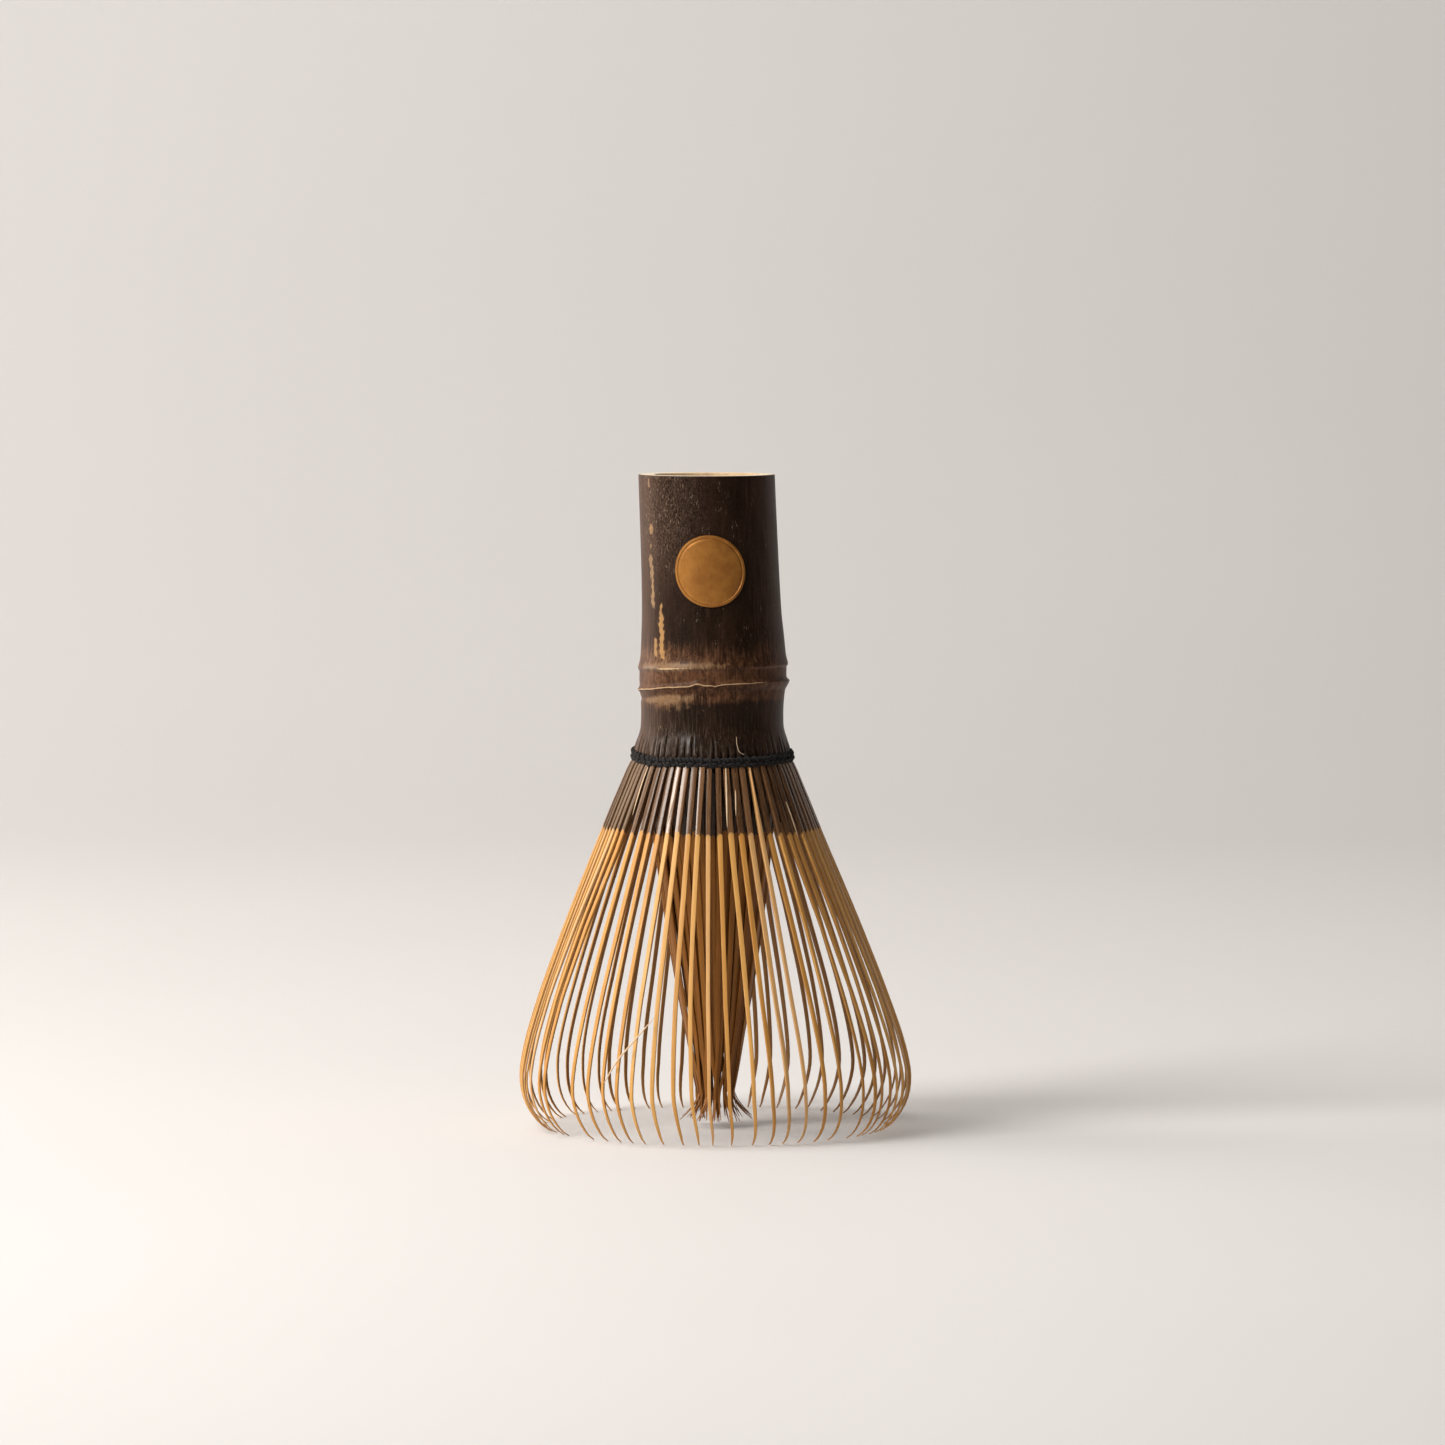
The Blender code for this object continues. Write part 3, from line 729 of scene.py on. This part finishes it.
def outer_stray(number, height):
    """How far an outer tine has moved round from its even place at a height, in degrees."""
    front = away((number + 0.5) * TINE_ANGLE, FRONT)
    belly = 1.05 * chance(number, 1) + 0.5 * chance(number, 2)
    belly -= SLIPPED_BACK_AT_LEFT * step(-front, 48.5, 53) * step(front, -85, -62)
    belly -= SLIPPED_BACK_AT_MIDDLE * bump_at(front, -12, 30)
    belly += SLIPPED_ON_AT_RIGHT * bump_at(front, 46, 13)
    share = np.interp(height, (24.0, 36.0, 49.0, 64.0), (1.0, 0.8, UPPER_SHARE, 0.0))
    hooked = np.interp(height, (2.0, 8.0, 24.0), (1.7, 0.5, 0.0))
    return float(belly * share + hooked)


def inner_stray(number, height):
    """The inner tines cling together in bunches, more so towards their ends. Degrees."""
    front = away((number + 0.5) * TINE_ANGLE, FRONT)
    moved = 0.0
    down = (65.2 - height) / 64.5
    for gap, wide, reach in ((24, 2.6, 20), (150, 3.0, 22), (-52, 3.0, 18), (-128, 3.0, 20), (92, 2.0, 16)):
        away_from = (front - gap + 180) % 360 - 180
        moved += math.copysign(wide, away_from) * math.exp(-abs(away_from) / reach)
    loose = 1.6 * chance(number, 3)
    crossed = 26 * chance(number, 4)
    return moved * step(down, 0.05, 0.75) + loose * down + crossed * step(down, 0.72, 1.0) ** 1.5


def tine(pile, number, line, sizes, skin_end, stray, depth=0.0, cut_short=0.0, curl=0.0, samples=56):
    """One tine, from under the thread to its tip."""
    profile = spline(line, samples)
    height, radius = profile[:, 0], profile[:, 1]
    down = (height[0] - height) / (height[0] - height[-1])
    first = 0.5 if line is OUTER_LINE else 1.0
    angle = (number + first) * TINE_ANGLE + TURNED + np.radians([stray(number, h) for h in height])
    angle = angle + math.radians(0.5) * chance(number, 7) * np.sin(down * 5.0 + 3 * chance(number, 8))
    waver = 0.16 * chance(number, 9) * np.sin(down * 4.2 + number)
    radius = radius + depth * np.sin(down * math.pi) + waver
    radius = radius + curl * np.clip((down - 0.93) / 0.07, 0, 1) ** 1.6
    height = height + cut_short * step(down, 0.55, 1.0)
    path = np.stack([middle(height) + radius * np.cos(angle), radius * np.sin(angle), height], axis=-1)
    across = np.stack([-np.sin(angle), np.cos(angle), np.zeros_like(angle)], axis=-1)
    table = np.array(sizes)[::-1]
    width = np.interp(profile[:, 0], table[:, 0], table[:, 1]) * (1 + 0.09 * chance(number, 10))
    width = width * (1 + 0.03 * np.sin(down * 17 + number))
    thick = np.interp(profile[:, 0], table[:, 0], table[:, 2]) * (1 + 0.12 * chance(number, 11))
    bare = float(line is OUTER_LINE and number == BARE_TINE)
    width = width * (1 - 0.68 * bare * step(profile[:, 0], 49.5, 61.5))
    covered = step(profile[:, 0], skin_end - 0.15, skin_end + 0.15)
    twist = math.radians(15) * chance(number, 12) * step(down, 0.15, 1.0)
    points = sweep(path, across, width, thick + SKIN_STEP * covered, TINE_SECTION, twist)
    sides = len(TINE_SECTION)
    length = np.concatenate([[0], np.cumsum(np.linalg.norm(np.diff(path, axis=0), axis=1))])
    grain = np.stack(
        [
            np.outer(width, TINE_SECTION[:, 0]) + number * 3.7,
            np.outer(thick, TINE_SECTION[:, 1]) + number * 1.3,
            np.repeat(length[:, None], sides, axis=1) + number * 11.0,
        ],
        axis=-1,
    ).reshape(-1, 3)
    uneven = 0.22 if line is OUTER_LINE else 0.5
    at_height = np.repeat(profile[:, 0] + uneven * chance(number, 13), sides)
    at_height = at_height + np.tile(1.6 * TINE_SECTION[:, 0] ** 2, samples)
    blush = max(0.0, chance(number, 14) * 1.5 - 0.35)
    even = np.ones(samples * sides)
    at_left = away((number + first) * TINE_ANGLE, FRONT)
    pile.add(
        points,
        tube_faces(samples, sides),
        grain=grain,
        height=at_height,
        tint=even * (0.5 + 0.5 * chance(number, 15)),
        blush=even * min(1.0, blush),
        pale=even * bare,
        cream=even * 0,
        # Shade painted on each tine's inward face, fading across its sides.
        inside=np.tile((TINE_SECTION[:, 1] < -0.3).astype(float), samples),
        # Light painted on the skin of the tines at the whisk's left, where the lamps fall.
        faded=even * step(-at_left, 40, 62) * step(at_left, -125, -100),
        gloss=even * (0.3 + 0.3 * chance(number, 18)) * (0.2 + 1.5 * bump_at(at_left, -23, 21)),
    )


def outer_tines():
    for stave in range(STAVES):
        pile = Pile()
        for number in range(stave * TINES_PER_STAVE, (stave + 1) * TINES_PER_STAVE):
            tine(
                pile, number, OUTER_LINE, OUTER_SIZES, SKIN_ENDS_OUTER, outer_stray,
                depth=0.25 * chance(number, 5),
            )
        name = f"outer_tines_{stave + 1:02d}"
        pile.piece(f"whisk_{name}", f"outer_{stave + 1:02d}", OUTER_BAMBOO, [name])


def inner_tines():
    for stave in range(STAVES):
        pile = Pile()
        for number in range(stave * TINES_PER_STAVE, (stave + 1) * TINES_PER_STAVE):
            tine(
                pile, number, INNER_LINE, INNER_SIZES, SKIN_ENDS_INNER, inner_stray,
                depth=0.5 * chance(number, 6), cut_short=1.0 + 0.9 * chance(number, 16),
                curl=1.6 + 2.4 * chance(number, 17), samples=84,
            )
        name = f"inner_tines_{stave + 1:02d}"
        pile.piece(f"whisk_{name}", f"inner_{stave // 2 + 1}", INNER_BAMBOO, [name])


# ---------------------------------------------------------------- the thread


ROUND = np.stack([np.cos(np.arange(8) * TAU / 8), np.sin(np.arange(8) * TAU / 8)], axis=-1) * 0.5


def ply(pile, path, out, reach, phase, pitch, thickness):
    """One ply turning round a thread's own path."""
    along = unit(np.gradient(path, axis=0))
    out = unit(out - along * (out * along).sum(1, keepdims=True))
    up = np.cross(along, out)
    length = np.concatenate([[0], np.cumsum(np.linalg.norm(np.diff(path, axis=0), axis=1))])
    turn = (TAU * length / pitch + phase)[:, None]
    middle = path + reach * (out * np.cos(turn) + up * np.sin(turn))
    ends = np.minimum(np.minimum(length, length[-1] - length) / 0.6, 1.0)
    size = thickness * (0.25 + 0.75 * np.sqrt(ends))
    points = sweep(middle, out, size, size, ROUND)
    sides = len(ROUND)
    grain = np.stack(
        [
            np.tile(np.cos(np.arange(sides) * TAU / sides), len(path)),
            np.tile(np.sin(np.arange(sides) * TAU / sides), len(path)),
            np.repeat(length, sides) + phase,
        ],
        axis=-1,
    )
    pile.add(points, tube_faces(len(path), sides), grain=grain)


def thread():
    """Two rows of two-ply thread, drawn in between the tines and bulging over each of them."""
    pile = Pile()
    for row, (height, radius, pitch) in enumerate(THREAD_ROWS):
        count = 1400
        angle = math.pi / 2 + 0.1 + np.linspace(0, TAU * 0.996, count)
        over = np.cos((angle - TURNED) * TINES + math.pi + row * math.pi)
        sag = droop(angle) - 0.014 * radius * np.cos(angle)
        reach = radius + 0.1 * over - 0.38 * sag + 0.05 * np.sin(angle * 23 + row)
        weave = 0.15 * np.sin((angle - TURNED) * TINES + row)
        path = np.stack(
            [
                middle(height) + reach * np.cos(angle),
                reach * np.sin(angle),
                height + sag + weave + 0.06 * np.sin(angle * 9 + row),
            ],
            axis=-1,
        )
        out = np.stack([np.cos(angle), np.sin(angle), np.zeros(count)], axis=-1)
        for phase in (0.0, math.pi):
            ply(pile, path, out, PLY_REACH, phase, pitch, PLY_THICKNESS)
    return pile.piece("twisted_thread", "handle", COTTON, ["binding_thread"])


def inner_thread():
    """The pass between the outer and the inner tines."""
    pile = Pile()
    count = 640
    angle = math.pi / 2 + np.linspace(0, TAU * 0.995, count)
    radius = SPACER_RADIUS + 0.05 * np.cos(angle * TINES / 2)
    height = SPACER_HEIGHT + 0.1 * np.sin(angle * TINES / 2)
    path = np.stack([middle(height) + radius * np.cos(angle), radius * np.sin(angle), height], axis=-1)
    out = np.stack([np.cos(angle), np.sin(angle), np.zeros(count)], axis=-1)
    for phase in (0.0, math.pi):
        ply(pile, path, out, SPACER_PLY_REACH, phase, SPACER_TWIST, SPACER_PLY_THICKNESS)
    return pile.piece("twisted_thread_spacer", "handle", COTTON, ["thread_spacer_row"])


# ---------------------------------------------------------------- the seal and the small splinters


def seal():
    """A plain round seal of gold leaf with a fine raised border."""
    turns = SEAL_SIDES
    points, faces = [], []
    turn = np.arange(turns) * TAU / turns

    def layer(reach, lift):
        height = SEAL_HEIGHT + reach * np.sin(turn)
        angle = FRONT + reach * np.cos(turn) / 12.0
        return culm_place(height, culm_radius(height, angle) + lift, angle)

    for reach, lift in SEAL_TOP + SEAL_UNDERSIDE:
        points.append(layer(reach, lift))
    rows = len(points)
    for i in range(rows - 1):
        a, b = i * turns, (i + 1) * turns
        faces += [(a + j, b + j, b + (j + 1) % turns, a + (j + 1) % turns) for j in range(turns)]
    faces.append(tuple(range(turns)))
    faces.append(tuple(range((rows - 1) * turns, rows * turns))[::-1])
    pile = Pile()
    pile.add(np.concatenate(points), faces)
    made = pile.piece("round_seal", "handle", GOLD, ["gold_seal"], sharp=35)
    return made


# How many rings of points a splinter has along its length
SPLINTER_STEPS = 24


def splinter(pile, route, width, number, cream):
    """A thin splinter of bamboo along a route, tapering to both ends."""
    path = spline(route, SPLINTER_STEPS)
    flat = np.array(path)
    flat[:, 2] = 0
    across = np.cross(unit(flat), (0, 0, 1))
    taper = np.sin(np.linspace(0.12, 1.0, SPLINTER_STEPS) * math.pi) ** 0.5
    points = sweep(path, across, width * taper, 0.6 * width * taper, ROUND)
    sides = len(ROUND)
    rows = np.repeat(np.linspace(0, 10, SPLINTER_STEPS), sides)
    even = np.ones(len(points))
    pile.add(
        points, tube_faces(SPLINTER_STEPS, sides),
        grain=np.stack([even * number, even, rows], axis=-1), height=even * 20, tint=even,
        blush=even * 0.2, pale=even, cream=even * cream, inside=even * 0, faded=even * 0,
        gloss=even * 0,
    )


def around(from_front, radius, height):
    """A point in mm, from its degrees round from the front, its radius and its height."""
    angle = FRONT + math.radians(from_front)
    return (float(middle(height)) + radius * math.cos(angle), radius * math.sin(angle), height)


# Slivers that stand off the skin of the tines: comb, degrees from the front at the top and the foot,
# heights of top and foot, and width in mm
SLIVERS = (
    (10, -50.6, -50.2, 63.2, 55.0, 0.26),
    (13, 9.6, 8.3, 63.4, 53.4, 0.3),
    (13, 14.9, 13.6, 60.0, 55.4, 0.22),
    (15, 49.5, 50.2, 57.4, 51.2, 0.26),
    (11, -23.5, -24.6, 58.5, 54.2, 0.16),
    (3, 158.0, 157.0, 62.0, 54.0, 0.24),
    (7, -118.0, -119.0, 60.5, 55.5, 0.22),
)
# How far a sliver stands off the middle of its tine, and how much farther halfway along, in mm
SLIVER_LIFT = 0.46
SLIVER_BOW = 0.12


def splinters():
    """Slivers of skin, a hair that has split off one outer tine, and a curl lifted off the collar."""
    surface = spline(OUTER_LINE, 200)[::-1]
    for number, (comb, top_at, foot_at, top, foot, width) in enumerate(SLIVERS):
        route = []
        for share in np.linspace(0, 1, 5):
            height = top + (foot - top) * share
            on_tine = float(np.interp(height, surface[:, 0], surface[:, 1]))
            radius = on_tine + SLIVER_LIFT + SLIVER_BOW * math.sin(math.pi * share)
            route.append(around(top_at + (foot_at - top_at) * share, radius, height))
        pile = Pile()
        splinter(pile, tuple(route), width, number + 3, 0.85)
        pile.piece(f"sliver_{number + 1}", f"outer_{comb:02d}", OUTER_BAMBOO)
    pile = Pile()
    splinter(
        pile,
        (
            around(-33.4, 34.3, 10.7), around(-29.5, 34.3, 14.2),
            around(-24.0, 33.4, 18.2), around(-18.0, 32.0, 22.4),
        ),
        0.34, 1, 0.9,
    )
    pile.piece("stray_fibre", "outer_11", OUTER_BAMBOO)
    pile = Pile()
    splinter(
        pile,
        (
            around(18.8, 12.9, 68.7), around(18.9, 13.35, 67.2),
            around(19.8, 13.75, 66.2), around(23.4, 14.1, 65.6),
        ),
        0.11, 2, 1.0,
    )
    pile.piece("collar_splinter", "handle", OUTER_BAMBOO)


# ---------------------------------------------------------------- the room, the lights and the camera


def sweep_of_paper():
    """A pale table that curves up into a pale wall."""
    floor_level = -0.05 * MM
    far, bend, top, half = 1.15, 0.5, 2.4, 2.6
    line = [(-1.9, floor_level), (far - bend, floor_level)]
    for i in range(1, 13):
        turn = math.pi / 2 * i / 12
        line.append((far - bend + bend * math.sin(turn), floor_level + bend * (1 - math.cos(turn))))
    line.append((far, top))
    points, faces = [], []
    for y, z in line:
        points += [(-half, y, z), (half, y, z)]
    for i in range(len(line) - 1):
        faces.append((2 * i, 2 * i + 1, 2 * i + 3, 2 * i + 2))
    mesh = bpy.data.meshes.new("backdrop")
    mesh.from_pydata(points, [], faces)
    mesh.shade_smooth()
    paper = room_material("pale_paper", (0.665, 0.65, 0.64), (0.695, 0.68, 0.67), 0.55, 0.65)
    mesh.materials.append(paper)
    made = bpy.data.objects.new("backdrop", mesh)
    bpy.context.scene.collection.objects.link(made)


def lamp(name, place, aim, size, power, colour):
    light = bpy.data.lights.new(name, "AREA")
    light.shape = "RECTANGLE"
    light.size, light.size_y = size
    light.energy = power
    light.color = colour
    made = bpy.data.objects.new(name, light)
    made.location = place
    made.rotation_euler = (Vector(aim) - Vector(place)).to_track_quat("-Z", "Y").to_euler()
    bpy.context.scene.collection.objects.link(made)


def light_and_camera():
    world = bpy.data.worlds.new("room")
    world.use_nodes = True
    world.node_tree.nodes["Background"].inputs["Color"].default_value = (1.0, 0.985, 0.97, 1.0)
    world.node_tree.nodes["Background"].inputs["Strength"].default_value = 0.07
    bpy.context.scene.world = world
    aim = (0.0, 0.0, 0.06)
    lamp("key", (-0.62, -0.42, 0.63), aim, (0.5, 0.42), 10.5, (1.0, 0.965, 0.92))
    lamp("side", (-0.85, 0.4, 0.36), aim, (0.6, 0.7), 4.1, (1.0, 0.87, 0.76))
    lamp("rim", (0.9, 0.7, 0.3), aim, (0.2, 0.5), 0.45, (1.0, 0.9, 0.84))
    lamp("wall", (-0.6, 0.2, 1.3), (-0.1, 1.05, 0.26), (0.9, 0.6), 11.6, (1.0, 0.975, 0.955))
    camera = bpy.data.cameras.new("camera")
    camera.lens = CAMERA_LENS
    camera.sensor_width = 36.0
    camera.clip_start = 0.05
    made = bpy.data.objects.new("camera", camera)
    made.location = CAMERA_AT
    made.rotation_euler = (Vector(CAMERA_AIM) - made.location).to_track_quat("-Z", "Y").to_euler()
    bpy.context.scene.collection.objects.link(made)
    bpy.context.scene.camera = made
    bpy.context.scene.view_settings.view_transform = "Standard"


light_and_camera()
sweep_of_paper()
culm()
outer_tines()
inner_tines()
thread()
inner_thread()
seal()
splinters()
